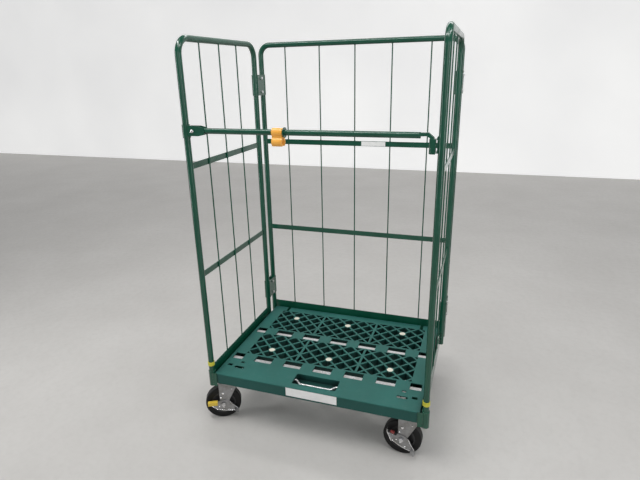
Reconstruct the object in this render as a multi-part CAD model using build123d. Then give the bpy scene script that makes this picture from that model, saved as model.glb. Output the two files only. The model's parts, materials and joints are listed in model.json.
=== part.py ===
from build123d import *
import os
from math import atan2, degrees

# Roll cage trolley: three tube-and-wire panels round a fold-up resin deck, on four casters.
# Model axes: X across, Y from the open front to the back, Z up. The floor is at z = 0.
# Dimensions are millimetres. x = 0 is the cage's middle and y = 0 its front posts' centres.

HALF_WIDTH = 486.0  # post centres, each way from the middle
SIDE_DEPTH = 634.0  # front post to rear post of a side panel
BACK_Y = 716.0  # the back panel's post centres
TOP = 1700.0
TUBE_R = 12.7
TUBE_WALL = 1.8
SIDE_BEND_R = 62.0
BACK_BEND_R = 48.0
WIRE_R = 3.0
FLAT_H = 25.0
FLAT_T = 4.5
RAIL_T = 3.2
SIDE_RAIL_TOP = 296.0
BACK_RAIL_TOP = 295.0
FLANGE_TOP = 211.4
FLANGE_IN = 386.0
WEB_X = 479.2  # inner face of a side panel's bottom web
SIDE_RAILS_Z = (1211.0, 742.0)
BACK_RAILS_Z = (1218.0, 750.0)
SIDE_WIRES_Y = (139.0, 292.5, 446.0)
BACK_WIRE_PITCH = 177.3

DECK_HALF = 466.0
DECK_FRONT = -12.0
DECK_REAR = 700.0
DECK_TOP = 264.0
DECK_BOTTOM = 212.0
SKIN_T = 4.0
SKIRT_T = 4.0
BANDS = ((185.0, 382.0), (446.0, 650.0))  # the two lattice bands, front to back
BAND_HALF = 401.0
LATTICE_DROP = 36.0
SECTION_PITCH = 147.0
CELL = SECTION_PITCH / 2
STRAND = 9.0
WALL_T = 2.5  # the wall round each lattice band
RIB_T = 4.0
RIB_DROP = 30.0
BUTTON_R = 15.0
RECESS_HALF = 101.0
RECESS_Y = (20.0, 95.0)
RECESS_DEPTH = 30.0
SLOT_W = 86.0
SLOT_D = 47.0
SLOT_ROWS = (151.5, 411.0)
CROSS_BAR_W = 27.0
CROSS_BAR_H = 22.0
CROSS_BAR_BACK = 2.0  # from a slot row's middle back to its cross bar's rear face
HINGE_Y = 664.0
HINGE_Z = 226.0
HINGE_X = 380.0
LUG_HALF = 6.0
HINGE_PIN_R = 5.0

BAR_Z = 1352.0
BAR_R = 10.8
RIVET_X = -452.0
COLLAR_Z = (1325.0, 1376.0)
CLIP_X = (-120.0, -79.0)

WHEEL_R = 82.5
WHEEL_W = 38.0
CORE_R = 56.0
TRAIL = 38.0
CASTER_X = 429.0
FRONT_CASTER_Y = 54.0
REAR_CASTER_Y = 580.0
CHEEK_IN = 24.0
CHEEK_T = 3.0
AXLE_R = 6.0
FRONT_TURN = {"left": 27.0, "right": -3.4}  # how far each front caster is swivelled
PEDAL_TILT = {"left": 0.0, "right": 14.0}  # how far each brake pedal is pressed down

GAP = 0.3
RUN = 0.06  # radial clearance of a running fit

# The left caster trails out past its panel, so the origin, under the middle of the whole
# trolley's box, is a little off the cage's own middle.
ORIGIN = Vector(-18.7, 351.4, 0)


def block(x0, x1, y0, y1, z0, z1):
    """A box between two corners."""
    size = Box(abs(x1 - x0), abs(y1 - y0), abs(z1 - z0))
    return Pos((x0 + x1) / 2, (y0 + y1) / 2, (z0 + z1) / 2) * size


def rod(start, end, radius):
    """A round bar between two points."""
    start, end = Vector(*start), Vector(*end)
    base = Plane(origin=start, z_dir=end - start)
    length = (end - start).length
    return base * Cylinder(radius, length, align=(Align.CENTER, Align.CENTER, Align.MIN))


def sleeve(start, end, outer, inner):
    """A round bar with a bore right through."""
    return rod(start, end, outer) - rod(start, end, inner)


def bent(points, bend, radius):
    """A round bar along straight runs joined by bends."""
    path = FilletPolyline(*points, radius=bend)
    section = Plane(origin=path @ 0, z_dir=path % 0) * Circle(radius)
    return sweep(section, path=path)


def bent_tube(points, bend, radius, wall):
    return bent(points, bend, radius) - bent(points, bend, radius - wall)


def save(shape, name):
    solids = [Pos(*(-ORIGIN)) * solid for solid in shape.solids()]
    export_step(Compound(solids) if len(solids) > 1 else solids[0], f"parts/{name}.step")


def save_all(named):
    for name, shape in named.items():
        save(shape, name)


def back_frame():
    """The back panel: a bent tube, five wires, two flat rails and a bottom rail."""
    crown = TOP - TUBE_R
    foot = BACK_RAIL_TOP - 85
    points = [
        (-HALF_WIDTH, BACK_Y, foot),
        (-HALF_WIDTH, BACK_Y, crown),
        (HALF_WIDTH, BACK_Y, crown),
        (HALF_WIDTH, BACK_Y, foot),
    ]
    wires = []
    for i in range(-2, 3):
        x = i * BACK_WIRE_PITCH
        wires.append(rod((x, BACK_Y, BACK_RAIL_TOP - 7), (x, BACK_Y, crown - 9), WIRE_R))
    flat_back = BACK_Y - WIRE_R + GAP
    reach = HALF_WIDTH - 9
    upper, lower = [
        block(-reach, reach, flat_back - FLAT_T, flat_back, z - FLAT_H / 2, z + FLAT_H / 2)
        for z in BACK_RAILS_Z
    ]
    web = block(-reach, reach, BACK_Y, BACK_Y + RAIL_T, foot - 5, BACK_RAIL_TOP)
    lip = block(-reach, reach, BACK_Y, BACK_Y + 24, foot - 5, foot - 5 + RAIL_T)
    return {
        "back_tube": bent_tube(points, BACK_BEND_R, TUBE_R, TUBE_WALL),
        "back_wires": Compound(wires),
        "back_upper_rail": upper,
        "back_lower_rail": lower,
        "back_bottom_rail": web + lip,
    }


def back_label():
    """A small blank plate on the back panel's upper rail."""
    front = BACK_Y - WIRE_R + GAP - FLAT_T
    z = BACK_RAILS_Z[0]
    return block(36, 156, front - 0.8, front + 0.2, z - 11, z + 11)


def deck_lugs():
    """Two eyes that reach forward from the back panel's bottom rail to the deck's hinge pins."""
    lugs = []
    for x in (-HINGE_X, HINGE_X):
        sides = x - LUG_HALF, x + LUG_HALF
        arm = block(*sides, HINGE_Y, BACK_Y + 0.4, HINGE_Z - 10.5, HINGE_Z + 10.5)
        eye = rod((sides[0], 0, 0), (sides[1], 0, 0), 10.5)
        bore = rod((x - 8, 0, 0), (x + 8, 0, 0), HINGE_PIN_R + RUN)
        place = Pos(0, HINGE_Y, HINGE_Z)
        lugs.append(arm + place * eye - place * bore)
    return Compound(lugs)


def hinge_clamp(side, z0, z1):
    """A strap round a side panel's rear post and the back post, with a spacer between them."""
    x = side * HALF_WIDTH
    outer = TUBE_R + 3.6
    shell = rod((x, SIDE_DEPTH, z0), (x, SIDE_DEPTH, z1), outer)
    shell += rod((x, BACK_Y, z0), (x, BACK_Y, z1), outer - 0.8)
    shell += block(x - 13.4, x + 13.4, SIDE_DEPTH, BACK_Y, z0, z1)
    shell -= rod((x, SIDE_DEPTH, z0 - 1), (x, SIDE_DEPTH, z1 + 1), TUBE_R + GAP)
    shell -= rod((x, BACK_Y, z0 - 1), (x, BACK_Y, z1 + 1), TUBE_R - 0.1)
    third = (z1 - z0) / 3
    front, rear = SIDE_DEPTH + 19, BACK_Y - 17
    for low, high in ((z0 - 1, z0 + third), (z1 - third, z1 + 1)):
        shell -= block(x - 9.8, x + 9.8, front, rear, low, high)
    middle = (front + rear) / 2
    for z in (z0 + third / 2, z1 - third / 2):
        shell -= rod((x - 20, middle, z), (x + 20, middle, z), 4.4)
    bolts = []
    for z in (z0 + third / 2, z1 - third / 2):
        shank = rod((x - 16, middle, z), (x + 16, middle, z), 4.0)
        hexagon = RegularPolygon(7, 6)
        head = Plane(origin=(x - 13.5, middle, z), z_dir=(-1, 0, 0)) * extrude(hexagon, 5)
        nut = Plane(origin=(x + 13.5, middle, z), z_dir=(1, 0, 0)) * extrude(hexagon, 6)
        bolts.append(shank + head + nut)
    return shell, bolts


def hinge_clamps():
    nodes, bolts = {}, []
    for name, side in (("left", -1), ("right", 1)):
        clamps = []
        for z0, z1 in ((1452, 1550), (348, 446)):
            clamp, pair = hinge_clamp(side, z0, z1)
            clamps.append(clamp)
            bolts += pair
        nodes[f"{name}_hinge_clamps"] = Compound(clamps)
    nodes["hinge_bolts"] = Compound(bolts)
    return nodes


def side_frame(name, side):
    """One side panel: a bent tube, three wires, two flat rails, the bottom rail and the foot."""
    x = side * HALF_WIDTH
    crown = TOP - TUBE_R
    points = [(x, 0, 200), (x, 0, crown), (x, SIDE_DEPTH, crown), (x, SIDE_DEPTH, 212)]
    wire_x = side * (HALF_WIDTH - FLAT_T / 2 - WIRE_R + GAP)
    wires = [
        rod((wire_x, y, SIDE_RAIL_TOP - 6), (wire_x, y, crown - 8), WIRE_R) for y in SIDE_WIRES_Y
    ]
    upper, lower = [
        block(x - FLAT_T / 2, x + FLAT_T / 2, 9, SIDE_DEPTH - 9, z - FLAT_H / 2, z + FLAT_H / 2)
        for z in SIDE_RAILS_Z
    ]
    web = block(side * WEB_X, side * (WEB_X + RAIL_T), 11.5, SIDE_DEPTH - 10, 208.2, SIDE_RAIL_TOP)
    flange = block(side * FLANGE_IN, side * (WEB_X + 1), 11.5, SIDE_DEPTH - 10, 208.2, FLANGE_TOP)
    foot = sleeve((x, 0, 194), (x, 0, 270), 16, TUBE_R - 0.1)
    foot += rod((x, 0, 194), (x, 0, 197), 16)
    rims = foot.edges().filter_by(GeomType.CIRCLE).group_by(Axis.Z)[-1]
    foot = chamfer(rims.sort_by(SortBy.RADIUS)[-1], 1.5)
    return {
        f"{name}_tube": bent_tube(points, SIDE_BEND_R, TUBE_R, TUBE_WALL),
        f"{name}_wires": Compound(wires),
        f"{name}_upper_rail": upper,
        f"{name}_lower_rail": lower,
        f"{name}_bottom_rail": web + flange,
        f"{name}_foot": foot,
        f"{name}_ring": sleeve((x, 0, 297), (x, 0, 315), 15.2, TUBE_R - 0.1),
    }


def bar_keeper():
    """A plate with two prongs on the right front post, where the safety bar's end rests."""
    edge = HALF_WIDTH - TUBE_R
    plate = block(edge - 2.6, edge + 2, -7, 7, 1294, 1350)
    upper = block(edge - 4.6, edge + 1, -9, 9, 1338, 1346)
    lower = block(edge - 4.6, edge + 1, -9, 9, 1294, 1302)
    return plate + upper + lower


def lattice_holes(band):
    """The diamond openings of one lattice band, with solid pads for its three buttons."""
    depth = band[1] - band[0]
    middle = (band[0] + band[1]) / 2
    strands = [Pos(side * SECTION_PITCH, 0) * Rectangle(STRAND + 2, depth) for side in (-1, 1)]
    reach = int((BAND_HALF + depth) / CELL)
    for i in range(-reach, reach):
        for angle in (45, -45):
            strands.append(Pos((i + 0.5) * CELL, 0) * Rot(0, 0, angle) * Rectangle(2 * depth, STRAND))
    for x, y in button_places():
        if band[0] < y < band[1]:
            strands.append(Pos(x, y - middle) * Circle(BUTTON_R + 4))
    return Pos(0, middle) * (Rectangle(2 * BAND_HALF, depth) - strands)


def button_places():
    """Each button stands on a crossing of strands, one half cell outward of its band's middle."""
    places = []
    for band, outward in zip(BANDS, (-1, 1)):
        y = (band[0] + band[1]) / 2 + outward * CELL / 2
        places += [(i * 2 * SECTION_PITCH, y) for i in (-1, 0, 1)]
    return places


def deck_openings():
    """Everything cut right through the deck, except the handle's recess."""
    cut = lattice_holes(BANDS[0]) + lattice_holes(BANDS[1])
    for x, y in button_places():
        cut += Pos(x, y) * Circle(BUTTON_R + GAP)
    for y in SLOT_ROWS:
        for i in range(-2, 3):
            cut += Pos(i * SECTION_PITCH, y) * Rectangle(SLOT_W, SLOT_D)
        for side in (-1, 1):
            cut += Pos(side * 425, y) * Rectangle(50, SLOT_D)
    for side in (-1, 1):
        cut += Pos(side * 431, 73) * Rectangle(23, 16)
        cut += Pos(side * 380, 64) * SlotOverall(48, 16)
        cut += Pos(side * 382, 106) * Rectangle(18, 12)
    return cut


def deck_stiffening():
    """What stands below the deck's skin: lattice blocks, ribs, the recess and hinge walls."""
    top = DECK_TOP - SKIN_T + 0.5
    low = top - RIB_DROP
    body = []
    for near, far in BANDS:
        half = BAND_HALF + WALL_T
        body.append(block(-half, half, near - WALL_T, far + WALL_T, DECK_TOP - LATTICE_DROP, top))
    for i in (-5, -3, -1, 1, 3, 5):
        x = i * CELL
        for near, far in ((RECESS_Y[1] + 10, BANDS[0][0]), (BANDS[0][1], BANDS[1][0])):
            body.append(block(x - RIB_T / 2, x + RIB_T / 2, near, far, low, top))
    half = RECESS_HALF + 3
    floor = DECK_TOP - RECESS_DEPTH - 3
    body.append(block(-half, half, RECESS_Y[0] - 3, RECESS_Y[1] + 3, floor, top))
    for x in (-HINGE_X, HINGE_X):
        body.append(block(x - 40, x + 40, BANDS[1][1], DECK_REAR - 1, DECK_BOTTOM + 2, top))
    return body


def deck_panel():
    """The resin deck: a pierced top skin with a deep skirt and ribs under it."""
    depth = DECK_REAR - DECK_FRONT
    middle = (DECK_REAR + DECK_FRONT) / 2
    outline = Pos(0, middle) * RectangleRounded(2 * DECK_HALF, depth, 9)
    inside = Pos(0, middle) * RectangleRounded(2 * (DECK_HALF - SKIRT_T), depth - 2 * SKIRT_T, 6)
    body = Pos(0, 0, DECK_BOTTOM) * extrude(outline, DECK_TOP - DECK_BOTTOM)
    body = fillet(body.edges().group_by(Axis.Z)[-1], 3.5)
    body -= Pos(0, 0, DECK_BOTTOM - 1) * extrude(inside, DECK_TOP - DECK_BOTTOM - SKIN_T + 1)
    body += deck_stiffening()
    recess_middle = (RECESS_Y[0] + RECESS_Y[1]) / 2
    recess = RectangleRounded(2 * RECESS_HALF, RECESS_Y[1] - RECESS_Y[0], 8)
    body -= Pos(0, recess_middle, DECK_TOP - RECESS_DEPTH) * extrude(recess, 2 * RECESS_DEPTH)
    body -= Pos(0, 0, DECK_BOTTOM - 1) * extrude(deck_openings(), DECK_TOP - DECK_BOTTOM + 2)
    body -= deck_bar_places(GAP)
    for x in (-HINGE_X, HINGE_X):
        front = HINGE_Y - 11.2
        rear = DECK_REAR + 10
        under = DECK_TOP - SKIN_T
        body -= block(x - 30, x + 30, front, rear, DECK_BOTTOM - 5, under)
        body -= block(x - LUG_HALF - 2, x + LUG_HALF + 2, front, rear, under - 1, DECK_TOP + 5)
        body -= rod((x - 36, HINGE_Y, HINGE_Z), (x + 36, HINGE_Y, HINGE_Z), HINGE_PIN_R)
    return body


def deck_bar_places(grow):
    """The boxes that the two cross bars fill, under the front of each slot row."""
    top = DECK_TOP - SKIN_T - GAP
    reach = DECK_HALF - SKIRT_T - 4 + grow
    places = []
    for row in SLOT_ROWS:
        rear = row + CROSS_BAR_BACK
        front = rear - CROSS_BAR_W
        places.append(
            block(-reach, reach, front - grow, rear + grow, top - CROSS_BAR_H - grow, top + grow)
        )
    return places


def deck_bars():
    """Two zinc box tubes that show in the slots."""
    bars = []
    for bar in deck_bar_places(0):
        hollow = bar.bounding_box()
        inner = Box(2 * DECK_HALF, CROSS_BAR_W - 4, CROSS_BAR_H - 4)
        bars.append(bar - Pos(*hollow.center()) * inner)
    return Compound(bars)


def deck_buttons():
    buttons = []
    for x, y in button_places():
        cap = rod((x, y, DECK_TOP - 18), (x, y, DECK_TOP), BUTTON_R)
        buttons.append(chamfer(cap.edges().group_by(Axis.Z)[-1], 1))
    return Compound(buttons)


def deck_handle():
    """A bent rod across the recess at the deck's front edge."""
    z = DECK_TOP - 12
    back = RECESS_Y[0] + 42
    front = RECESS_Y[0] + 22
    half = RECESS_HALF
    points = [(-half - 2, back, z), (8 - half, back, z), (30 - half, front, z - 3)]
    points += [(-x, y, z) for x, y, z in reversed(points)]
    return bent(points, 8, 4.5)


def deck_pins():
    pins = []
    for side in (-1, 1):
        x = side * HINGE_X
        pins.append(rod((x - 37, HINGE_Y, HINGE_Z), (x + 37, HINGE_Y, HINGE_Z), HINGE_PIN_R))
    return Compound(pins)


def deck_label():
    """A blank plate on the front of the skirt."""
    return block(-116, 116, DECK_FRONT - 0.7, DECK_FRONT + 0.2, DECK_BOTTOM + 8, DECK_BOTTOM + 48)


def bar_collar():
    """A sleeve that turns on the left front post, with two ears for the bar's rivet."""
    low, high = COLLAR_Z
    x = -HALF_WIDTH
    ring = rod((x, 0, low), (x, 0, high), TUBE_R + 3)
    ear = [(TUBE_R + 1, -19), (60, -19), (86, -13), (86, 13), (60, 19), (TUBE_R + 1, 19)]
    face = Plane.XZ * make_face(Polyline(*ear, close=True))
    plates = Pos(x, 13.5, BAR_Z) * extrude(face, 27)
    plates -= block(x + TUBE_R + 6, x + 100, -11.2, 11.2, low, high)
    ring += plates
    ring -= rod((x, 0, low - 1), (x, 0, high + 1), TUBE_R + GAP)
    return ring - rod((RIVET_X, -20, BAR_Z), (RIVET_X, 20, BAR_Z), 3.9)


def bar_rivet():
    pin = rod((RIVET_X, -15, BAR_Z), (RIVET_X, 15, BAR_Z), 4.0)
    for way in (-1, 1):
        pin += rod((RIVET_X, way * 13.4, BAR_Z), (RIVET_X, way * 16.4, BAR_Z), 6.5)
    return pin


def bar_tube():
    """The safety bar: round along its length, pierced for the rivet at its left end."""
    left, right = RIVET_X - 9, 415.0
    bar = rod((left, 0, BAR_Z), (right, 0, BAR_Z), BAR_R)
    bar -= rod((RIVET_X + 24, 0, BAR_Z), (right - 6, 0, BAR_Z), BAR_R - 1.8)
    return bar - rod((RIVET_X, -20, BAR_Z), (RIVET_X, 20, BAR_Z), 4.0 + RUN)


def bar_leg():
    """The bar's right end: a flattened strap that turns down into a half-round leg."""
    outer = [(410, BAR_Z + 9), (441, BAR_Z + 9), (460, BAR_Z - 6), (460, BAR_Z - 40)]
    inner = [(447, BAR_Z - 40), (447, BAR_Z - 9), (436, BAR_Z - 2), (410, BAR_Z - 3)]
    strap = Pos(0, 10, 0) * extrude(Plane.XZ * make_face(Polyline(*outer, *inner, close=True)), 20)
    shell = rod((455, 0, BAR_Z - 61), (455, 0, BAR_Z - 11), 11.5)
    shell += block(455, 466, -11.5, 11.5, BAR_Z - 61, BAR_Z - 11)
    shell -= rod((455, 0, BAR_Z - 62), (455, 0, BAR_Z - 14), 8.9)
    shell -= block(455, 467, -8.9, 8.9, BAR_Z - 62, BAR_Z - 14)
    return strap + shell


def bar_stop():
    return sleeve((-75, 0, BAR_Z), (-71.5, 0, BAR_Z), 19, BAR_R - 0.1)


def bar_clip():
    """A ring that turns on the bar, with a snap jaw that grips the post when the bar is stowed."""
    x0, x1 = CLIP_X
    body = rod((x0, 0, BAR_Z), (x1, 0, BAR_Z), 16)
    jaw_z = BAR_Z - 34
    body += block(x0, x1, -11, 11, jaw_z + 12, BAR_Z - 5)
    body += rod((x0, 0, jaw_z), (x1, 0, jaw_z), 18.5)
    body -= rod((x0 - 1, 0, jaw_z), (x1 + 1, 0, jaw_z), 13.2)
    body -= block(x0 - 1, x1 + 1, -10, 10, jaw_z - 20, jaw_z - 6)
    return body - rod((x0 - 1, 0, BAR_Z), (x1 + 1, 0, BAR_Z), BAR_R + GAP)


def caster_wheel():
    """A rubber tyre on a ribbed core, about an axle along Y at the origin."""
    half = WHEEL_W / 2
    tyre = rod((0, -half, 0), (0, half, 0), WHEEL_R)
    tyre = fillet(tyre.edges().filter_by(GeomType.CIRCLE), 6)
    tyre -= rod((0, -half - 1, 0), (0, half + 1, 0), CORE_R)
    core = rod((0, -half, 0), (0, half, 0), CORE_R + 0.3)
    for way in (-1, 1):
        core -= sleeve((0, way * (half + 1), 0), (0, way * 8, 0), CORE_R - 6, 19)
    core += sleeve((0, -22, 0), (0, 22, 0), 15, AXLE_R + RUN)
    return tyre, core - rod((0, -30, 0), (0, 30, 0), AXLE_R + RUN)


def fork(crown_half, trail):
    """Two tapered cheeks under a crown plate; the axle is at x = -trail, the crown at x = 0."""
    top = 190.0 - WHEEL_R
    left, right = -trail - 16, crown_half
    hip = top - 26
    outline = [(left, top), (right, top), (right, hip), (-trail + 17, -6), (-trail + 9, -13)]
    outline += [(-trail - 9, -13), (-trail - 16, -6)]
    face = Plane.XZ * make_face(Polyline(*outline, close=True))
    body = None
    for way in (-1, 1):
        y = CHEEK_IN + CHEEK_T if way > 0 else -CHEEK_IN
        cheek = Pos(0, y, 0) * extrude(face, CHEEK_T)
        body = cheek if body is None else body + cheek
    crown = block(left, right, -CHEEK_IN - CHEEK_T, CHEEK_IN + CHEEK_T, top - 3.5, top)
    body += crown
    bore = rod((-trail, -40, 0), (-trail, 40, 0), AXLE_R)
    return body - bore


def axle(trail):
    """The axle bolt, its hex head and its nut."""
    ends = CHEEK_IN + CHEEK_T + 8
    bolt = rod((-trail, -ends, 0), (-trail, ends - 4, 0), AXLE_R)
    hexagon = RegularPolygon(9.5, 6)
    face = CHEEK_IN + CHEEK_T + 0.2
    head = Plane(origin=(-trail, -ends + 0.5, 0), z_dir=(0, -1, 0)) * extrude(hexagon, 5)
    nut = Plane(origin=(-trail, face, 0), z_dir=(0, 1, 0)) * extrude(hexagon, 7)
    return bolt + head + nut


def pedal(trail):
    """The brake's rocker plate on the outer cheek, capped at one end and bent out at the other."""
    outer = -CHEEK_IN - CHEEK_T - GAP
    outline = [(-66, 4), (-64, 17), (-20, 17), (12, 21), (26, 12), (42, -6), (66, -30), (60, -39)]
    outline += [(26, -40), (-2, -36), (-34, -25)]
    face = Plane.XZ * make_face(Polyline(*[(x - trail, z) for x, z in outline], close=True))
    plate = Pos(0, outer, 0) * extrude(face, 3)
    plate -= rod((-trail, -60, 0), (-trail, 0, 0), AXLE_R + RUN)
    step = Pos(60 - trail, outer - 13, -31) * Rot(0, 40, 0) * Box(24, 26, 3)
    lip = block(-64 - trail, -24 - trail, outer - 16, outer, 14, 17)
    plate += step + lip
    cap = block(-70 - trail, -26 - trail, outer - 20, outer - 3, 5, 23)
    cap = fillet(cap.edges().filter_by(Axis.X), 2)
    return plate, cap - plate


def front_caster(name, side):
    """One braked swivel caster, swivelled as it stands at rest."""
    turn = Rot(0, 0, FRONT_TURN[name])
    spot = Pos(side * CASTER_X, FRONT_CASTER_Y, 0)
    lift = Pos(0, 0, WHEEL_R)
    tyre, core = caster_wheel()
    pedal_plate, pad = pedal(TRAIL)
    tilt = Pos(-TRAIL, 0, 0) * Rot(0, PEDAL_TILT[name], 0) * Pos(TRAIL, 0, 0)
    plate = block(-42, 44, -40, 44, 203, 208) + rod((0, 0, 191), (0, 0, 203.5), 33)
    plate += rod((0, 0, 186), (0, 0, 191.5), 7)
    neck = rod((0, 0, 60), (0, 0, 120), 7 + GAP)
    body = fork(24.0, TRAIL) - neck
    body += sleeve((0, 0, 106.9), (0, 0, 108.2), 26, 7 + GAP)
    wheel_place = spot * turn * lift * Pos(-TRAIL, 0, 0)
    return {
        f"{name}_front_plate": spot * plate,
        f"{name}_front_fork": spot * turn * lift * body,
        f"{name}_front_axle": spot * turn * lift * axle(TRAIL),
        f"{name}_front_tyre": wheel_place * tyre,
        f"{name}_front_core": wheel_place * core,
        f"{name}_pedal": spot * turn * lift * tilt * pedal_plate,
        f"{name}_pedal_pad": spot * turn * lift * tilt * pad,
    }


def rear_caster(name, side):
    """One fixed caster, rolling front to back."""
    spot = Pos(side * CASTER_X, REAR_CASTER_Y, WHEEL_R) * Rot(0, 0, 90)
    tyre, core = caster_wheel()
    body = fork(24.0, 0.0)
    body += block(-48, 48, -40, 40, 190 - WHEEL_R - 0.5, 208 - WHEEL_R)
    return {
        f"{name}_rear_fork": spot * body,
        f"{name}_rear_axle": spot * axle(0.0),
        f"{name}_rear_tyre": spot * tyre,
        f"{name}_rear_core": spot * core,
    }


os.makedirs("parts", exist_ok=True)
save_all(back_frame())
save(back_label(), "back_label")
save(deck_lugs(), "deck_lugs")
save_all(hinge_clamps())
for name, side in (("left", -1), ("right", 1)):
    save_all(side_frame(name, side))
    save_all(front_caster(name, side))
    save_all(rear_caster(name, side))
save(bar_keeper(), "bar_keeper")
save(deck_panel(), "deck_panel")
save(deck_bars(), "deck_bars")
save(deck_buttons(), "deck_buttons")
save(deck_handle(), "deck_handle")
save(deck_pins(), "deck_pins")
save(deck_label(), "deck_label")
save(bar_collar(), "bar_collar")
save(bar_rivet(), "bar_rivet")
save(bar_tube(), "bar_tube")
save(bar_leg(), "bar_leg")
save(bar_stop(), "bar_stop")
save(bar_clip(), "bar_clip")
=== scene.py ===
import bpy
import json
import math
import bmesh
from mathutils import Euler, Matrix, Vector, noise


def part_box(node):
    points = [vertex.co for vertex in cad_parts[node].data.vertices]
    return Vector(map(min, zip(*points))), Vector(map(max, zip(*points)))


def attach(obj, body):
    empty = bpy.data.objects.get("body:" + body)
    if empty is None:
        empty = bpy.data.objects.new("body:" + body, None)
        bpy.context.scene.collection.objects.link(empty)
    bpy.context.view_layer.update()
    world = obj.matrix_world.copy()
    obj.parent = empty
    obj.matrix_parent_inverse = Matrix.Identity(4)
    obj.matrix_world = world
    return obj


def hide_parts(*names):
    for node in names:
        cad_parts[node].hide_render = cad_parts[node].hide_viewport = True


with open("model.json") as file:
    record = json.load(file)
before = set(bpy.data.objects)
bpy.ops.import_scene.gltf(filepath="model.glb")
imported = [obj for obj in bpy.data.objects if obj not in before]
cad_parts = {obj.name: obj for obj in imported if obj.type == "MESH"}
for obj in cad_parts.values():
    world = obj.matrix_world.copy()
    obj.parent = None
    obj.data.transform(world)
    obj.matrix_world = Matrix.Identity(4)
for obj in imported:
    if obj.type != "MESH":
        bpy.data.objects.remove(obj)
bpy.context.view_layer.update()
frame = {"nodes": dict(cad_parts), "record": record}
NODES = frame["nodes"]
SIDES = {"left": -1, "right": 1}


# ---------------------------------------------------------------- places taken from the frame

def centre(node):
    low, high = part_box(node)
    return (low + high) / 2


# The posts' places and radius, the lines of the rear posts and of the back panel, and the deck.
LEFT_POST = centre("left_foot")
RIGHT_POST = centre("right_foot")
MIDDLE_X = (LEFT_POST.x + RIGHT_POST.x) / 2
POST_R = 0.0127
FRONT_Y = LEFT_POST.y
REAR_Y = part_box("left_tube")[1].y - POST_R
BACK_Y = centre("back_tube").y
DECK_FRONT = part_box("deck_panel")[0].y
DECK_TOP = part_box("deck_panel")[1].z

# How far each front caster is swivelled and its pedal tilted, and how far its axle trails.
FRONT_TURN = {"left": math.radians(27.0), "right": math.radians(-3.4)}
PEDAL_TILT = {"left": 0.0, "right": math.radians(14.0)}
TRAIL = 0.038


# ---------------------------------------------------------------- material helpers

def new_material(name):
    """A material with its node tree, its Principled node and object-space coordinates."""
    mat = bpy.data.materials.new(name)
    mat.use_nodes = True
    tree = mat.node_tree
    shader = tree.nodes["Principled BSDF"]
    coords = tree.nodes.new("ShaderNodeTexCoord").outputs["Object"]
    return mat, tree, shader, coords


def stretched(tree, coords, scale):
    """Coordinates scaled by a factor along each axis."""
    mapping = tree.nodes.new("ShaderNodeMapping")
    mapping.inputs["Scale"].default_value = scale
    tree.links.new(coords, mapping.inputs["Vector"])
    return mapping.outputs["Vector"]


def noise_of(tree, coords, scale, detail=4.0, rough=0.55):
    node = tree.nodes.new("ShaderNodeTexNoise")
    node.inputs["Scale"].default_value = scale
    node.inputs["Detail"].default_value = detail
    node.inputs["Roughness"].default_value = rough
    tree.links.new(coords, node.inputs["Vector"])
    return node.outputs["Fac"]


def ramp(tree, value, low, high, a=0.0, b=1.0):
    """A value's run from low to high, turned into a run from a to b."""
    node = tree.nodes.new("ShaderNodeMapRange")
    node.inputs["From Min"].default_value = low
    node.inputs["From Max"].default_value = high
    node.inputs["To Min"].default_value = a
    node.inputs["To Max"].default_value = b
    tree.links.new(value, node.inputs["Value"])
    return node.outputs["Result"]


def patches(tree, coords, scale, detail, low, high, top=1.0, rough=0.55):
    """Patches of noise: 0 where it is below low, rising to top where it is above high."""
    return ramp(tree, noise_of(tree, coords, scale, detail, rough), low, high, 0.0, top)


def mixed(tree, factor, a, b):
    """Two colours mixed by a factor; each is an RGB triple or another node's output."""
    node = tree.nodes.new("ShaderNodeMix")
    node.data_type = "RGBA"
    tree.links.new(factor, node.inputs["Factor"])
    for socket, value in (("A", a), ("B", b)):
        target = [s for s in node.inputs if s.name == socket and s.type == "RGBA"][0]
        if isinstance(value, tuple):
            target.default_value = (*value, 1.0)
        else:
            tree.links.new(value, target)
    return [s for s in node.outputs if s.type == "RGBA"][0]


def maths(tree, operation, a, b):
    """Two values put together; each is a number or another node's output."""
    node = tree.nodes.new("ShaderNodeMath")
    node.operation = operation
    node.use_clamp = True
    for index, value in enumerate((a, b)):
        if isinstance(value, float):
            node.inputs[index].default_value = value
        else:
            tree.links.new(value, node.inputs[index])
    return node.outputs[0]


def rounded_normal(tree, radius):
    bevel = tree.nodes.new("ShaderNodeBevel")
    bevel.samples = 4
    bevel.inputs["Radius"].default_value = radius
    return bevel.outputs["Normal"]


def edge_mask(tree, radius):
    """1 near convex edges and 0 on flat faces, from how far a rounded normal leans."""
    geometry = tree.nodes.new("ShaderNodeNewGeometry")
    dot = tree.nodes.new("ShaderNodeVectorMath")
    dot.operation = "DOT_PRODUCT"
    tree.links.new(rounded_normal(tree, radius), dot.inputs[0])
    tree.links.new(geometry.outputs["Normal"], dot.inputs[1])
    return ramp(tree, dot.outputs["Value"], 0.97, 0.75)


def bumped(tree, shader, height, strength, distance, bevel_radius):
    """Gives a surface a fine relief, and its edges a small rounding."""
    bump = tree.nodes.new("ShaderNodeBump")
    bump.inputs["Strength"].default_value = strength
    bump.inputs["Distance"].default_value = distance
    tree.links.new(height, bump.inputs["Height"])
    tree.links.new(rounded_normal(tree, bevel_radius), bump.inputs["Normal"])
    tree.links.new(bump.outputs["Normal"], shader.inputs["Normal"])


# ---------------------------------------------------------------- materials

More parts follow.
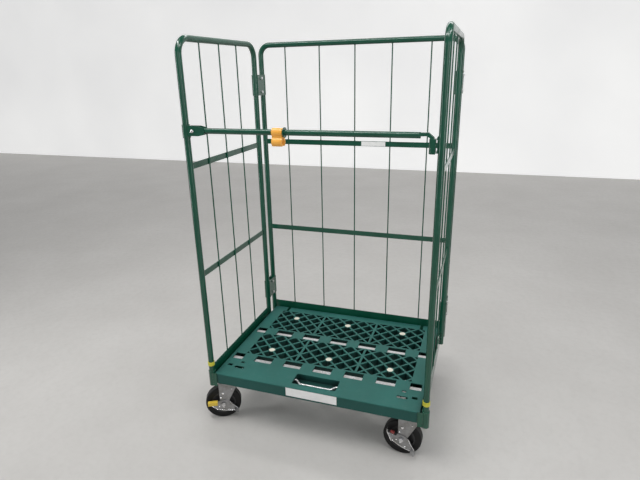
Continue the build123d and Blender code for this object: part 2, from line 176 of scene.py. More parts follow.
PAINT, PAINT_PALE = (0.0030, 0.060, 0.033), (0.0050, 0.074, 0.042)
PAINT_DUST, PAINT_SCRATCH = (0.020, 0.085, 0.055), (0.04, 0.12, 0.09)
PAINT_WORN = (0.10, 0.16, 0.13)
RESIN, RESIN_PALE = (0.014, 0.100, 0.084), (0.020, 0.124, 0.106)
RESIN_MARK, RESIN_WORN, RESIN_DUST = (0.09, 0.24, 0.22), (0.07, 0.22, 0.20), (0.10, 0.18, 0.16)
# The last two: painted shade below the deck's top face, and painted shade in its hollows.
RESIN_SIDE_SHADE, RESIN_HOLLOW_SHADE = (0.002, 0.022, 0.018), (0.001, 0.010, 0.009)
ZINC_TINT, ZINC_DULL_TINT, ZINC_GRIME = (1.0, 1.0, 1.02), (1.0, 0.98, 0.93), (0.16, 0.14, 0.12)
RUBBER, RUBBER_PALE = (0.0030, 0.0030, 0.0032), (0.0070, 0.0070, 0.0070)
RUBBER_DUST = (0.040, 0.037, 0.034)
FLOOR, FLOOR_PALE, FLOOR_SPOT = (0.50, 0.485, 0.465), (0.55, 0.535, 0.515), (0.45, 0.435, 0.415)
BACKDROP, BACKDROP_PALE = (0.70, 0.70, 0.70), (0.76, 0.76, 0.755)


def frame_paint():
    """Glossy green stove enamel, a little uneven, with rubbed edges and faint scratches."""
    mat, tree, shader, coords = new_material("frame_paint")
    broad = noise_of(tree, coords, scale=9.0, detail=3.0)
    base = mixed(tree, ramp(tree, broad, 0.35, 0.65), PAINT, PAINT_PALE)
    drawn = stretched(tree, coords, (260.0, 260.0, 9.0))
    scratch = patches(tree, drawn, 1.0, 5.0, low=0.70, high=0.76, rough=0.7)
    handled = patches(tree, coords, 14.0, 4.0, low=0.56, high=0.66)
    scratch = maths(tree, "MULTIPLY", scratch, handled)
    rubbed = patches(tree, coords, 60.0, 5.0, low=0.52, high=0.68)
    worn = maths(tree, "MULTIPLY", edge_mask(tree, 0.0012), rubbed)
    dust = patches(tree, coords, 35.0, 6.0, low=0.55, high=0.85, top=0.25, rough=0.7)
    base = mixed(tree, dust, base, PAINT_DUST)
    base = mixed(tree, scratch, base, PAINT_SCRATCH)
    base = mixed(tree, worn, base, PAINT_WORN)
    tree.links.new(base, shader.inputs["Base Color"])
    rough = ramp(tree, broad, 0.3, 0.7, 0.16, 0.26)
    rough = maths(tree, "ADD", rough, maths(tree, "MULTIPLY", scratch, 0.25))
    tree.links.new(rough, shader.inputs["Roughness"])
    shader.inputs["Coat Weight"].default_value = 0.2
    shader.inputs["Coat Roughness"].default_value = 0.05
    fine = noise_of(tree, coords, scale=420.0, detail=2.0)
    bumped(tree, shader, fine, strength=0.05, distance=0.0003, bevel_radius=0.0008)
    return mat


def scuffs(tree, coords, scale, low, high, area_scale, area_low, area_high):
    """Streaks drawn out along one axis, only in some areas."""
    streaks = patches(tree, stretched(tree, coords, scale), 1.0, 6.0, low, high, rough=0.7)
    areas = patches(tree, coords, area_scale, 3.0, area_low, area_high)
    return maths(tree, "MULTIPLY", streaks, areas)


def deck_resin():
    """Matte teal polypropylene with a faint moulded grain, scuffs, pale stress marks and painted
    shade.
    """
    mat, tree, shader, coords = new_material("deck_resin")
    broad = noise_of(tree, coords, scale=5.0, detail=4.0)
    base = mixed(tree, ramp(tree, broad, 0.35, 0.68), RESIN, RESIN_PALE)
    along = scuffs(tree, coords, (18.0, 240.0, 60.0), 0.60, 0.74, 7.0, 0.5, 0.66)
    across = scuffs(tree, coords, (230.0, 26.0, 60.0), 0.64, 0.76, 6.0, 0.52, 0.7)
    marks = maths(tree, "MAXIMUM", along, across)
    base = mixed(tree, maths(tree, "MULTIPLY", marks, 0.55), base, RESIN_MARK)
    rubbed = patches(tree, coords, 45.0, 4.0, low=0.45, high=0.7)
    worn = maths(tree, "MULTIPLY", edge_mask(tree, 0.0016), rubbed)
    base = mixed(tree, maths(tree, "MULTIPLY", worn, 0.6), base, RESIN_WORN)
    dust = patches(tree, coords, 28.0, 7.0, low=0.52, high=0.8, top=0.16, rough=0.75)
    base = mixed(tree, dust, base, RESIN_DUST)
    # Painted shade: below the deck's top face, on the skirt and the lattice's walls, the colour
    # darkens as if lit only from above.
    split = tree.nodes.new("ShaderNodeSeparateXYZ")
    tree.links.new(coords, split.inputs["Vector"])
    side = ramp(tree, split.outputs["Z"], DECK_TOP - 0.006, DECK_TOP - 0.002, 0.45, 0.0)
    base = mixed(tree, side, base, RESIN_SIDE_SHADE)
    # Painted shade: an ambient-occlusion darkening inside the lattice's holes and other hollows.
    occlusion_shade = tree.nodes.new("ShaderNodeAmbientOcclusion")
    occlusion_shade.samples = 6
    occlusion_shade.inputs["Distance"].default_value = 0.045
    hollow_shade = ramp(tree, occlusion_shade.outputs["AO"], 0.40, 0.90, 0.96, 0.0)
    base = mixed(tree, hollow_shade, base, RESIN_HOLLOW_SHADE)
    tree.links.new(base, shader.inputs["Base Color"])
    shader.inputs["Specular IOR Level"].default_value = 0.3
    rough = ramp(tree, broad, 0.3, 0.7, 0.46, 0.60)
    rough = maths(tree, "ADD", rough, maths(tree, "MULTIPLY", marks, 0.15))
    tree.links.new(rough, shader.inputs["Roughness"])
    grain = noise_of(tree, coords, scale=900.0, detail=2.0)
    bumped(tree, shader, grain, strength=0.18, distance=0.0003, bevel_radius=0.0012)
    return mat


def zinc(name, shade, rough_low, rough_high):
    """Zinc plate: pale spangled metal with fine drawn lines and a few dull patches."""
    mat, tree, shader, coords = new_material(name)
    stain = noise_of(tree, coords, scale=32.0, detail=5.0, rough=0.65)
    bright = tuple(shade * c for c in ZINC_TINT)
    dull = tuple(0.72 * shade * c for c in ZINC_DULL_TINT)
    base = mixed(tree, ramp(tree, stain, 0.42, 0.66), bright, dull)
    spangle = patches(tree, coords, 160.0, 3.0, low=0.5, high=0.72, top=0.35)
    base = mixed(tree, spangle, base, tuple(0.82 * c for c in bright))
    grime = patches(tree, coords, 70.0, 6.0, low=0.62, high=0.85, top=0.3, rough=0.7)
    base = mixed(tree, grime, base, ZINC_GRIME)
    tree.links.new(base, shader.inputs["Base Color"])
    shader.inputs["Metallic"].default_value = 0.9
    rough = ramp(tree, stain, 0.3, 0.7, rough_low, rough_high)
    tree.links.new(rough, shader.inputs["Roughness"])
    drawn = stretched(tree, coords, (900.0, 60.0, 900.0))
    lines = noise_of(tree, drawn, scale=1.0, detail=2.0)
    bumped(tree, shader, lines, strength=0.10, distance=0.0002, bevel_radius=0.0006)
    return mat


def plastic(name, dark, pale, rough, wear):
    """A moulded plastic or plate: two close shades, rubbed edges and a fine grain."""
    mat, tree, shader, coords = new_material(name)
    broad = noise_of(tree, coords, scale=40.0, detail=4.0)
    base = mixed(tree, ramp(tree, broad, 0.35, 0.65), dark, pale)
    spots = patches(tree, coords, 240.0, 5.0, low=0.6, high=0.78, top=0.5, rough=0.7)
    base = mixed(tree, spots, base, wear)
    rubbed = patches(tree, coords, 120.0, 4.0, low=0.48, high=0.7)
    worn = maths(tree, "MULTIPLY", edge_mask(tree, 0.0012), rubbed)
    base = mixed(tree, maths(tree, "MULTIPLY", worn, 0.5), base, wear)
    tree.links.new(base, shader.inputs["Base Color"])
    sheen = ramp(tree, broad, 0.3, 0.7, rough - 0.06, rough + 0.08)
    tree.links.new(sheen, shader.inputs["Roughness"])
    grain = noise_of(tree, coords, scale=700.0, detail=2.0)
    bumped(tree, shader, grain, strength=0.12, distance=0.0003, bevel_radius=0.0006)
    return mat


def tyre_rubber():
    """Black rubber: matte, with dusty smears and fine grit."""
    mat, tree, shader, coords = new_material("tyre_rubber")
    broad = noise_of(tree, coords, scale=40.0, detail=5.0, rough=0.65)
    base = mixed(tree, ramp(tree, broad, 0.4, 0.7), RUBBER, RUBBER_PALE)
    shader.inputs["Specular IOR Level"].default_value = 0.3
    dust = patches(tree, coords, 90.0, 6.0, low=0.58, high=0.80, top=0.35, rough=0.75)
    base = mixed(tree, dust, base, RUBBER_DUST)
    tree.links.new(base, shader.inputs["Base Color"])
    tree.links.new(ramp(tree, broad, 0.3, 0.7, 0.42, 0.62), shader.inputs["Roughness"])
    grit = noise_of(tree, coords, scale=500.0, detail=3.0)
    bumped(tree, shader, grit, strength=0.25, distance=0.0004, bevel_radius=0.001)
    return mat


def floor_material():
    """A plain pale floor with soft, uneven tones."""
    mat, tree, shader, coords = new_material("floor")
    broad = noise_of(tree, coords, scale=1.6, detail=5.0, rough=0.6)
    fine = noise_of(tree, coords, scale=26.0, detail=6.0, rough=0.7)
    base = mixed(tree, ramp(tree, broad, 0.35, 0.7), FLOOR, FLOOR_PALE)
    base = mixed(tree, ramp(tree, fine, 0.45, 0.75, 0.0, 0.35), base, FLOOR_SPOT)
    tree.links.new(base, shader.inputs["Base Color"])
    tree.links.new(ramp(tree, fine, 0.3, 0.7, 0.42, 0.6), shader.inputs["Roughness"])
    return mat


def wall_material():
    """A plain pale wall that glows a little, so that it stays even."""
    mat, tree, shader, coords = new_material("backdrop")
    broad = noise_of(tree, coords, scale=0.5, detail=3.0)
    tone = mixed(tree, ramp(tree, broad, 0.35, 0.7), BACKDROP, BACKDROP_PALE)
    tree.links.new(tone, shader.inputs["Base Color"])
    tree.links.new(tone, shader.inputs["Emission Color"])
    shader.inputs["Emission Strength"].default_value = 0.72
    shader.inputs["Roughness"].default_value = 0.8
    return mat


# Each plastic's darker shade, paler shade, roughness and rubbed shade.
PLASTICS = {
    "button_resin": ((0.66, 0.63, 0.52), (0.74, 0.71, 0.60), 0.45, (0.40, 0.36, 0.27)),
    "label_white": ((0.76, 0.76, 0.75), (0.82, 0.82, 0.81), 0.40, (0.55, 0.53, 0.49)),
    "ring_yellow": ((0.50, 0.47, 0.035), (0.62, 0.58, 0.055), 0.35, (0.22, 0.22, 0.05)),
    "clip_orange": ((0.86, 0.40, 0.060), (0.93, 0.47, 0.090), 0.34, (0.62, 0.27, 0.05)),
    "core_resin": ((0.014, 0.014, 0.015), (0.028, 0.028, 0.030), 0.50, (0.09, 0.085, 0.08)),
    "pad_yellow": ((0.62, 0.42, 0.035), (0.74, 0.54, 0.075), 0.42, (0.75, 0.70, 0.55)),
    "pad_red": ((0.20, 0.030, 0.028), (0.28, 0.045, 0.040), 0.42, (0.40, 0.22, 0.20)),
}
MATERIALS = {
    "frame_paint": frame_paint(),
    "deck_resin": deck_resin(),
    "zinc": zinc("zinc", shade=0.70, rough_low=0.24, rough_high=0.36),
    "bright_zinc": zinc("bright_zinc", shade=0.95, rough_low=0.08, rough_high=0.20),
    "fork_zinc": zinc("fork_zinc", shade=0.36, rough_low=0.26, rough_high=0.42),
    "tyre_rubber": tyre_rubber(),
}
for name, look in PLASTICS.items():
    MATERIALS[name] = plastic(name, *look)


# ---------------------------------------------------------------- mesh helpers

SHARP_ANGLE = math.radians(35.0)
PINHOLE = 0.0002          # the radius at which a turned shape closes on its own axis
HEAD_SUNK = 0.0005        # how far a rivet head reaches into the face that it sits on
ROD_SIDES, HEAD_SIDES = 12, 20
EVEN = (1.0, 1.0, 1.0)


def smooth(obj):
    """Shades a mesh smooth, except across its sharp edges."""
    for polygon in obj.data.polygons:
        polygon.use_smooth = True
    obj.data.set_sharp_from_angle(angle=SHARP_ANGLE)


def piece(name, body, slot, build, material=None, replaces=()):
    """Builds a mesh and adds it as a piece of the object, riding on a body."""
    bm = bmesh.new()
    build(bm)
    mesh = bpy.data.meshes.new(name)
    bm.to_mesh(mesh)
    bm.free()
    obj = bpy.data.objects.new(name, mesh)
    bpy.context.scene.collection.objects.link(obj)
    obj.data.materials.append(MATERIALS[material or slot])
    smooth(obj)
    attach(obj, body)
    if replaces:
        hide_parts(*replaces)


def circle(radius, count):
    """Points evenly round a circle, as pairs."""
    turns = [2 * math.pi * i / count for i in range(count)]
    return [(radius * math.cos(a), radius * math.sin(a)) for a in turns]


def stitch(bm, ring, after):
    """A band of faces between two closed rings of vertices."""
    for j in range(len(ring)):
        k = (j + 1) % len(ring)
        bm.faces.new((ring[j], ring[k], after[k], after[j]))


def lathe(bm, profile, matrix, segments=72):
    """Turns a closed profile of (along, radius) points about the local Y axis."""
    rings = []
    for x, z in circle(1.0, segments):
        rings.append([bm.verts.new(matrix @ Vector((r * x, y, r * z))) for y, r in profile])
    for i in range(segments):
        stitch(bm, rings[i], rings[(i + 1) % segments])


def bead(bm, place, size, stretch=EVEN):
    """A small uneven blob of weld."""
    made = bmesh.ops.create_icosphere(bm, subdivisions=2, radius=size)
    for vert in made["verts"]:
        wobble = 1 + 0.22 * noise.noise(vert.co * (1.4 / size) + place * 40)
        vert.co = Vector([c * s * wobble for c, s in zip(vert.co, stretch)]) + place


def dome(bm, place, axis, radius, height):
    """A domed rivet head, sunk a little into a face whose outward normal is axis."""
    turn = Vector((0, 1, 0)).rotation_difference(Vector(axis)).to_matrix().to_4x4()
    rim, crown = 0.25 * height, 0.75 * height
    profile = [(-HEAD_SUNK, PINHOLE), (-HEAD_SUNK, radius), (rim, radius)]
    for step in range(1, 6):
        a = step * math.pi / 12
        profile.append((rim + crown * math.sin(a * 1.2), radius * math.cos(a * 1.08)))
    profile.append((height, PINHOLE))
    lathe(bm, profile, Matrix.Translation(place) @ turn, segments=HEAD_SIDES)


def bent_rod(bm, points, radius):
    """A round rod through points, mitred at each one."""
    rings = []
    for i, point in enumerate(points):
        before = points[max(i - 1, 0)]
        after = points[min(i + 1, len(points) - 1)]
        turn = Vector((0, 0, 1)).rotation_difference((after - before).normalized())
        ring = [point + turn @ Vector((x, y, 0)) for x, y in circle(radius, ROD_SIDES)]
        rings.append([bm.verts.new(spot) for spot in ring])
    for ring, after in zip(rings, rings[1:]):
        stitch(bm, ring, after)
    bm.faces.new(list(reversed(rings[0])))
    bm.faces.new(rings[-1])


def rounded_block(bm, matrix, size, radius, segments):
    """A block with rounded edges, put in its place by a matrix."""
    made = bmesh.ops.create_cube(bm, size=1)
    bmesh.ops.transform(bm, matrix=matrix @ Matrix.Diagonal((*size, 1)), verts=made["verts"])
    bmesh.ops.bevel(bm, geom=bm.edges[:], offset=radius, segments=segments, affect="EDGES")


# ---------------------------------------------------------------- CAD nodes that stay

def slot_of(node):
    """The material slot that the record gives a CAD node."""
    rows = frame["record"]["subparts"]
    return next(row["material_slot"] for row in rows if row["node"] == node)


for name, node in NODES.items():
    finish = MATERIALS[slot_of(name)]
    if not node.data.materials:
        node.data.materials.append(finish)
    for index in range(len(node.data.materials)):
        node.data.materials[index] = finish
    smooth(node)


# ---------------------------------------------------------------- weld beads

WIRE_WELD, RAIL_WELD = 0.0042, 0.0045       # sizes of beads
FLAT_HALF = 0.0125        # from a rail's middle line to the beads above and below it
EDGE_IN = 0.003           # from a rail's edges in to the outer beads at its ends
PROUD = 0.001             # how far a bead's middle stands off a face
BACK_WELD_OUT = 0.004     # how far the back rails' beads lie in front of their middle
BOTTOM_RAIL_WELDS = (0.235, 0.252, 0.268, 0.285)
TOUCH = 0.001             # parts of one wire lie closer together than this


def weld_piece(name, body, places, size, stretch=EVEN):
    def build(bm):
        for place in places:
            bead(bm, Vector(place), size, stretch)
    piece(name, body, "frame_paint", build)


def box_centres(node):
    """The middle of each wire in a CAD node, found from its connected vertices."""
    mesh = NODES[node].data
    owner = list(range(len(mesh.vertices)))

    def root(i):
        while owner[i] != i:
            owner[i] = owner[owner[i]]
            i = owner[i]
        return i

    for a, b in (edge.vertices for edge in mesh.edges):
        owner[root(a)] = root(b)
    groups = {}
    for vert in mesh.vertices:
        groups.setdefault(root(vert.index), []).append(vert.co.copy())
    wires = []
    for points in groups.values():
        low = Vector([min(p[i] for p in points) for i in range(3)])
        high = Vector([max(p[i] for p in points) for i in range(3)])
        for wire in wires:
            if all(low[i] <= wire[1][i] + TOUCH and high[i] >= wire[0][i] - TOUCH for i in (0, 1)):
                wire[0] = Vector(map(min, low, wire[0]))
                wire[1] = Vector(map(max, high, wire[1]))
                break
        else:
            wires.append([low, high])
    return [(low + high) / 2 for low, high in wires]


def wire_welds(prefix, body):
    """Beads where a panel's wires cross its flats, meet its tube and stand on its bottom rail."""
    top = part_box(f"{prefix}_tube")[1].z - 2 * POST_R + PROUD
    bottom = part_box(f"{prefix}_bottom_rail")[1].z + PROUD
    spots = []
    for place in box_centres(f"{prefix}_wires"):
        for rail in ("upper_rail", "lower_rail"):
            z = centre(f"{prefix}_{rail}").z
            spots += [(place.x, place.y, z - FLAT_HALF), (place.x, place.y, z + FLAT_HALF)]
        spots += [(place.x, place.y, top), (place.x, place.y, bottom)]
    weld_piece(f"{prefix}_wire_welds", body, spots, WIRE_WELD, (1.0, 1.0, 0.8))


def rail_heights(prefix):
    """The heights of the beads at the ends of a panel's two flat rails."""
    heights = []
    for rail in (f"{prefix}_upper_rail", f"{prefix}_lower_rail"):
        low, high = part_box(rail)
        heights += [low.z + EDGE_IN, centre(rail).z, high.z - EDGE_IN]
    return heights


wire_welds("back", "back_frame")
for name in SIDES:
    wire_welds(name, f"{name}_side")
    post_x = centre(f"{name}_foot").x
    ends = [(post_x, y, z) for z in rail_heights(name) for y in (FRONT_Y + POST_R, REAR_Y - POST_R)]
    ends += [(post_x, REAR_Y - POST_R, z) for z in BOTTOM_RAIL_WELDS]
    weld_piece(f"{name}_rail_welds", f"{name}_side", ends, RAIL_WELD)
inner_faces = (LEFT_POST.x + POST_R, RIGHT_POST.x - POST_R)
back_ends = [(x, BACK_Y - BACK_WELD_OUT, z) for z in rail_heights("back") for x in inner_faces]
weld_piece("back_rail_welds", "back_frame", back_ends, RAIL_WELD)


# ---------------------------------------------------------------- casters

# Distances out from a front caster's middle plane.
CHEEK_OUT = 0.027
PEDAL_OUT = 0.0303
CAP_OUT = 0.0385
FLANGE_OUT = 0.0420
AXLE_END = {"front": 0.0350, "rear": 0.0300}

# Rivets, as (across, up, radius) from the axle.
FORK_RIVETS = ((0.002, 0.056, 0.0064), (-0.009, 0.033, 0.0046), (0.044, 0.078, 0.0036))
FORK_RIVET_HEIGHT = 0.0038
PEDAL_RIVETS = ((0.000, -0.017, 0.0045), (0.024, -0.030, 0.0038), (-0.020, -0.012, 0.0036))
PEDAL_RIVET_HEIGHT = 0.0032
AXLE_CAP_R, AXLE_CAP_HEIGHT = 0.0062, 0.0045

# Lines on a brake pedal, as (across, up) from the axle.
PEDAL_EDGES = (
    [(-0.034, -0.025), (-0.018, -0.031), (-0.002, -0.036), (0.026, -0.040), (0.058, -0.039)],
    [(0.027, 0.012), (0.042, -0.006), (0.064, -0.029)],
    [(-0.066, 0.004), (-0.050, -0.010), (-0.034, -0.025)],
)
EDGE_R, EDGE_SUNK = 0.0016, 0.0008
FLANGE_LINE = (
    (-0.069, 0.030), (-0.066, 0.018), (-0.055, 0.002), (-0.045, -0.010), (-0.037, -0.020),
)
FLANGE_EDGE_R, FLANGE_HALF_T = 0.0019, 0.0006
CAP_SIZE, CAP_ACROSS, CAP_UP, CAP_ROUNDING = (0.019, 0.010, 0.012), -0.044, 0.0235, 0.0022

# The bearing's rolled rim, as (down, radius), and how far its top lies above the plate's underside.
RIM = (
    (0.0, 0.0325), (0.0, 0.0345), (0.0015, 0.0362),
    (0.0050, 0.0362), (0.0075, 0.0345), (0.0075, 0.0325),
)
RIM_UP = 0.0175


def wheel_frame(name):
    """A front caster's axle, and the caster's own left-to-right and outward directions."""
    turn = FRONT_TURN[name]
    along = Vector((math.cos(turn), math.sin(turn), 0))
    out = Vector((math.sin(turn), -math.cos(turn), 0))
    return centre(f"{name}_front_core"), along, out


def on_pedal(name, across, up, outward):
    """A point on a brake pedal, from its axle, turned with the pedal's tilt."""
    axle, along, out = wheel_frame(name)
    tilt = PEDAL_TILT[name]
    a = across * math.cos(tilt) + up * math.sin(tilt)
    z = up * math.cos(tilt) - across * math.sin(tilt)
    return axle + along * a + Vector((0, 0, z)) + out * outward


def fork_rivets(name):
    axle, along, out = wheel_frame(name)

    def build(bm):
        for across, up, radius in FORK_RIVETS:
            for way in (-1, 1):
                place = axle + along * across + Vector((0, 0, up)) + out * way * CHEEK_OUT
                dome(bm, place, out * way, radius, FORK_RIVET_HEIGHT)

    piece(f"{name}_fork_rivets", f"{name}_front_caster", "zinc", build, "bright_zinc")


def pedal_rivets(name):
    out = wheel_frame(name)[2]

    def build(bm):
        for across, up, radius in PEDAL_RIVETS:
            dome(bm, on_pedal(name, across, up, PEDAL_OUT), out, radius, PEDAL_RIVET_HEIGHT)

    piece(f"{name}_pedal_rivets", f"{name}_brake_pedal", "zinc", build, "bright_zinc")


def pedal_edges(name):
    """The rolled, polished edges of a brake pedal."""
    def build(bm):
        for line in PEDAL_EDGES:
            points = [on_pedal(name, x, z, PEDAL_OUT - EDGE_SUNK) for x, z in line]
            bent_rod(bm, points, EDGE_R)

    piece(f"{name}_pedal_edges", f"{name}_brake_pedal", "zinc", build, "bright_zinc")


def small_cap(name):
    """A short rounded cap on a brake pedal, in place of a long one."""
    _, along, out = wheel_frame(name)

    def build(bm):
        turn = Matrix((along, out, Vector((0, 0, 1)))).transposed().to_4x4()
        lean = Matrix.Rotation(PEDAL_TILT[name], 4, "Y")
        place = Matrix.Translation(on_pedal(name, CAP_ACROSS, CAP_UP, CAP_OUT))
        rounded_block(bm, place @ turn @ lean, CAP_SIZE, CAP_ROUNDING, segments=3)

    body, pad = f"{name}_brake_pedal", f"{name}_pedal_pad"
    piece(f"{name}_small_cap", body, "pad_red", build, replaces=(pad,))


def pedal_flange(name):
    """A brake pedal's turned-out flange, with a rolled edge."""
    def build(bm):
        inner = [on_pedal(name, x, z, PEDAL_OUT) for x, z in FLANGE_LINE]
        outer = [on_pedal(name, x, z, FLANGE_OUT) for x, z in FLANGE_LINE]
        bent_rod(bm, outer, FLANGE_EDGE_R)
        for i in range(len(FLANGE_LINE) - 1):
            corners = (inner[i], inner[i + 1], outer[i + 1], outer[i])
            normal = (corners[1] - corners[0]).cross(corners[3] - corners[0]).normalized()
            low = [bm.verts.new(c - normal * FLANGE_HALF_T) for c in corners]
            high = [bm.verts.new(c + normal * FLANGE_HALF_T) for c in corners]
            bm.faces.new(reversed(low))
            bm.faces.new(high)
            stitch(bm, low, high)

    piece(f"{name}_pedal_flange", f"{name}_brake_pedal", "zinc", build, "bright_zinc")


def axle_caps(name, end):
    """The domed nut ends of a caster's axle, on both sides."""
    if end == "front":
        place, _, out = wheel_frame(name)
        body = f"{name}_front_caster"
    else:
        place, out, body = centre(f"{name}_rear_core"), Vector((1, 0, 0)), f"{name}_side"

    def build(bm):
        for way in (-1, 1):
            dome(bm, place + out * way * AXLE_END[end], out * way, AXLE_CAP_R, AXLE_CAP_HEIGHT)

    piece(f"{name}_{end}_axle_caps", body, "zinc", build, "bright_zinc")


def swivel_race(name):
    """The rolled rim of a front caster's bearing, between its fork and its plate."""
    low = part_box(f"{name}_front_plate")[0]
    axle, along, _ = wheel_frame(name)
    swivel = axle + along * TRAIL

    def build(bm):
        upright = Matrix.Rotation(math.radians(90), 4, "X")
        place = Matrix.Translation((swivel.x, swivel.y, low.z + RIM_UP))
        lathe(bm, [(-down, radius) for down, radius in RIM], place @ upright)

    piece(f"{name}_race_rim", f"{name}_side", "fork_zinc", build)


# ---------------------------------------------------------------- small metal

BAR_HEAD_R, BAR_HEAD_HEIGHT, BAR_HEAD_SUNK = 0.0066, 0.0032, 0.0004

# A deck hook: where its middle lies, its half width, its bow, its rise and its wire's radius.
HOOK_X, HOOK_IN, HOOK_DEPTH = 0.380, 0.064, 0.0075
HOOK_HALF, HOOK_LEAD, HOOK_BOW, HOOK_DROP = 0.015, 0.0035, 0.008, 0.001
HOOK_R, HOOK_STEPS = 0.0021, 12

# A foot plate: its size, its place from the foot's middle and underside, and its weld beads.
PLATE_SIZE, PLATE_ROUNDING = (0.023, 0.0024, 0.070), 0.0007
PLATE_IN, PLATE_PROUD, PLATE_UP = 0.0195, 0.0016, 0.036
PLATE_WELD, PLATE_WELD_IN, PLATE_WELD_PROUD = 0.0028, 0.0095, 0.0022
PLATE_WELD_UP, PLATE_WELD_STEP, PLATE_WELDS = 0.010, 0.016, 4


def collar_rivets(bm):
    """The domed heads of the rivet that the safety bar turns on."""
    low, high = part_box("bar_rivet")
    x, z = (low.x + high.x) / 2, (low.z + high.z) / 2
    dome(bm, Vector((x, low.y + BAR_HEAD_SUNK, z)), (0, -1, 0), BAR_HEAD_R, BAR_HEAD_HEIGHT)
    dome(bm, Vector((x, high.y - BAR_HEAD_SUNK, z)), (0, 1, 0), BAR_HEAD_R, BAR_HEAD_HEIGHT)


def deck_hooks(bm):
    """A small wire hook hanging in the oval hole near each front corner of the deck."""
    for side in SIDES.values():
        middle = Vector((MIDDLE_X + side * HOOK_X, FRONT_Y + HOOK_IN, DECK_TOP - HOOK_DEPTH))
        points = []
        for step in range(HOOK_STEPS + 1):
            a = math.pi * step / HOOK_STEPS
            x = HOOK_HALF * math.cos(a)
            y = HOOK_LEAD - HOOK_BOW * math.sin(a)
            points.append(middle + Vector((x, y, -HOOK_DROP * step / HOOK_STEPS)))
        bent_rod(bm, points, HOOK_R)


def foot_plate(name):
    """A painted stop plate that reaches inward from a front post's foot, past the deck's corner."""
    side = SIDES[name]
    foot = centre(f"{name}_foot")
    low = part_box(f"{name}_foot")[0].z

    def build(bm):
        place = (foot.x - side * PLATE_IN, DECK_FRONT - PLATE_PROUD, low + PLATE_UP)
        rounded_block(bm, Matrix.Translation(place), PLATE_SIZE, PLATE_ROUNDING, segments=2)
        for step in range(PLATE_WELDS):
            z = low + PLATE_WELD_UP + PLATE_WELD_STEP * step
            spot = Vector((foot.x - side * PLATE_WELD_IN, DECK_FRONT - PLATE_WELD_PROUD, z))
            bead(bm, spot, PLATE_WELD, (1, 1, 1.8))

    piece(f"{name}_foot_plate", f"{name}_side", "frame_paint", build)


piece("collar_rivet_heads", "bar_sleeve", "zinc", collar_rivets, "bright_zinc")
piece("deck_hooks", "deck", "zinc", deck_hooks)
for name in SIDES:
    fork_rivets(name)
    pedal_rivets(name)
    pedal_edges(name)
    axle_caps(name, "front")
    axle_caps(name, "rear")
    swivel_race(name)
small_cap("right")
pedal_flange("right")
for name in SIDES:
    foot_plate(name)


# ---------------------------------------------------------------- stage, light and camera

FLOOR_HALF = 30
FLOOR_CORNERS = ((-1, -1), (1, -1), (1, 1), (-1, 1))
WALL_HALF, WALL_Y, WALL_TOP = 14, 6, 6
WALL_CORNERS = ((-1, 0), (1, 0), (1, 1), (-1, 1))

# Each light's place, its target, its width and height, its power and its colour.
LIGHTS = {
    "strip_left": ((-0.9, -0.9, 3.3), (-0.3, 0.1, 0.6), (2.6, 0.22), 31, (1.0, 0.995, 0.98)),
    "strip_right": ((1.5, -0.7, 3.3), (0.3, 0.2, 0.6), (2.6, 0.22), 27, (0.98, 0.99, 1.0)),
    "strip_back": ((0.0, 1.6, 3.4), (0.0, 0.3, 0.4), (2.8, 0.5), 22, (1.0, 1.0, 1.0)),
    "upright_left": ((-2.6, -1.4, 1.3), (-0.4, 0.1, 1.0), (0.22, 2.0), 20, (0.97, 0.985, 1.0)),
    "upright_right": ((2.9, -1.6, 1.4), (0.4, 0.1, 1.0), (0.25, 2.0), 20, (0.97, 0.985, 1.0)),
    "front_fill": ((1.4, -4.2, 2.2), (0.0, 0.0, 0.7), (2.6, 2.2), 22, (1.0, 1.0, 1.0)),
}
SUN_POWER, SUN_SPREAD, SUN_TILT = 0.5, math.radians(40), (math.radians(14), math.radians(-10), 0)
SKY, SKY_STRENGTH = (0.96, 0.98, 1.0, 1.0), 0.25

# The camera: right of the middle, in front of the posts, above the floor; its turns in radians.
VIEW_RIGHT, VIEW_FRONT, VIEW_UP = 0.6267, 1.6585, 1.5567
YAW, PITCH, ROLL = 0.3326, 0.3321, -0.0214
SENSOR_MM, LENS_MM = 36, 27.39


def plane(name, corners, material):
    mesh = bpy.data.meshes.new(name)
    mesh.from_pydata(corners, [], [(0, 1, 2, 3)])
    obj = bpy.data.objects.new(name, mesh)
    bpy.context.scene.collection.objects.link(obj)
    obj.data.materials.append(material)


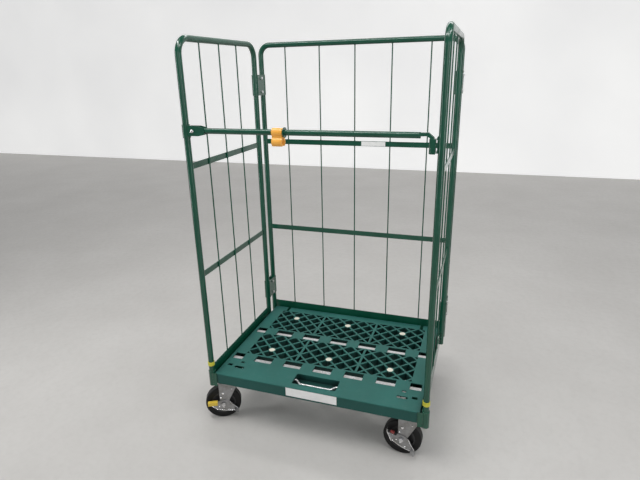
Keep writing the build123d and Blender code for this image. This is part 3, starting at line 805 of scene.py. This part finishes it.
def area_light(name, place, target, size, power, colour):
    data = bpy.data.lights.new(name, "AREA")
    data.shape = "RECTANGLE"
    data.size, data.size_y = size
    data.energy = power
    data.color = colour
    obj = bpy.data.objects.new(name, data)
    obj.location = place
    obj.rotation_euler = (Vector(target) - Vector(place)).to_track_quat("-Z", "Y").to_euler()
    bpy.context.scene.collection.objects.link(obj)


def surroundings():
    """A weak, wide sun and an even sky."""
    sun = bpy.data.objects.new("soft_sun", bpy.data.lights.new("soft_sun", "SUN"))
    sun.data.energy = SUN_POWER
    sun.data.angle = SUN_SPREAD
    sun.rotation_euler = Euler(SUN_TILT)
    bpy.context.scene.collection.objects.link(sun)
    world = bpy.data.worlds.new("world")
    bpy.context.scene.world = world
    world.use_nodes = True
    world.node_tree.nodes["Background"].inputs["Color"].default_value = SKY
    world.node_tree.nodes["Background"].inputs["Strength"].default_value = SKY_STRENGTH
    bpy.context.scene.view_settings.view_transform = "Standard"


def camera():
    """The viewpoint: right of the trolley's middle, above its deck, tilted down."""
    flat, drop = math.cos(PITCH), math.sin(PITCH)
    forward = Vector((-math.sin(YAW) * flat, math.cos(YAW) * flat, -drop))
    level = Vector((math.cos(YAW), math.sin(YAW), 0))
    upright = level.cross(forward)
    right = level * math.cos(ROLL) + upright * math.sin(ROLL)
    up = upright * math.cos(ROLL) - level * math.sin(ROLL)
    data = bpy.data.cameras.new("camera")
    data.sensor_width = SENSOR_MM
    data.lens = LENS_MM
    obj = bpy.data.objects.new("camera", data)
    turn = Matrix((right, up, -forward)).transposed().to_4x4()
    place = Vector((MIDDLE_X + VIEW_RIGHT, FRONT_Y - VIEW_FRONT, VIEW_UP))
    obj.matrix_world = Matrix.Translation(place) @ turn
    bpy.context.scene.collection.objects.link(obj)
    bpy.context.scene.camera = obj


floor_corners = [(x * FLOOR_HALF, y * FLOOR_HALF, 0) for x, y in FLOOR_CORNERS]
plane("floor", floor_corners, floor_material())
wall_corners = [(x * WALL_HALF, WALL_Y, z * WALL_TOP) for x, z in WALL_CORNERS]
plane("backdrop", wall_corners, wall_material())
for name, settings in LIGHTS.items():
    area_light(name, *settings)
surroundings()
camera()
